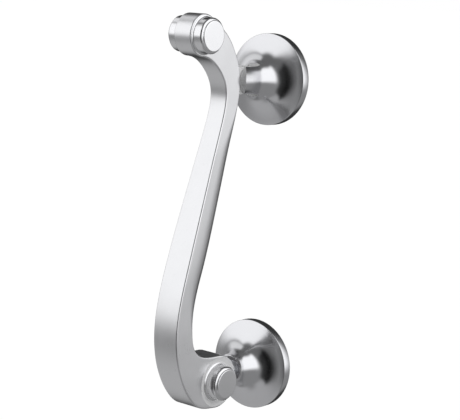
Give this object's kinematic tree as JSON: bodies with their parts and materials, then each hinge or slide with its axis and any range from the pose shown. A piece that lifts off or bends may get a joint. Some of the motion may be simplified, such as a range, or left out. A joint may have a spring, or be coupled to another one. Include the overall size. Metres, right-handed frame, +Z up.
{
  "type": "door knocker",
  "caption": "Scroll door knocker: an S-shaped swinging arm with stepped turned buttons, hinged in a forked upper rose and striking a lower rose.",
  "frame": {"origin": "centre of the upper rose on the face of the door", "axes": "+Z up; the knocker stands out from the door towards -Y; the hinge pin lies along X"},
  "size_m": [0.045, 0.0862, 0.1977],
  "materials": {
    "arm_chrome": "satin, fine brushed along the arm",
    "rose_chrome": "satin, turned",
    "button_chrome": "satin, turned",
    "plain_steel": "plain turned steel"
  },
  "bodies": {
    "fixed_roses": {"upper_rose": "rose_chrome", "lower_rose": "rose_chrome", "hinge_pin": "plain_steel", "striking_stud": "plain_steel", "upper_fixing_stud": "plain_steel", "lower_fixing_stud": "plain_steel"},
    "arm": {"knocker_arm": "arm_chrome", "upper_button_left": "button_chrome", "upper_button_right": "button_chrome", "lower_button_left": "button_chrome", "lower_button_right": "button_chrome", "upper_button_rod": "plain_steel", "lower_button_rod": "plain_steel"}
  },
  "joints": [
    {"name": "arm_swing", "type": "hinge", "parent": "fixed_roses", "child": "arm", "pos_m": [0, -0.0223, 0], "axis": [-1, 0, 0], "range_deg": [0, 65]}
  ]
}
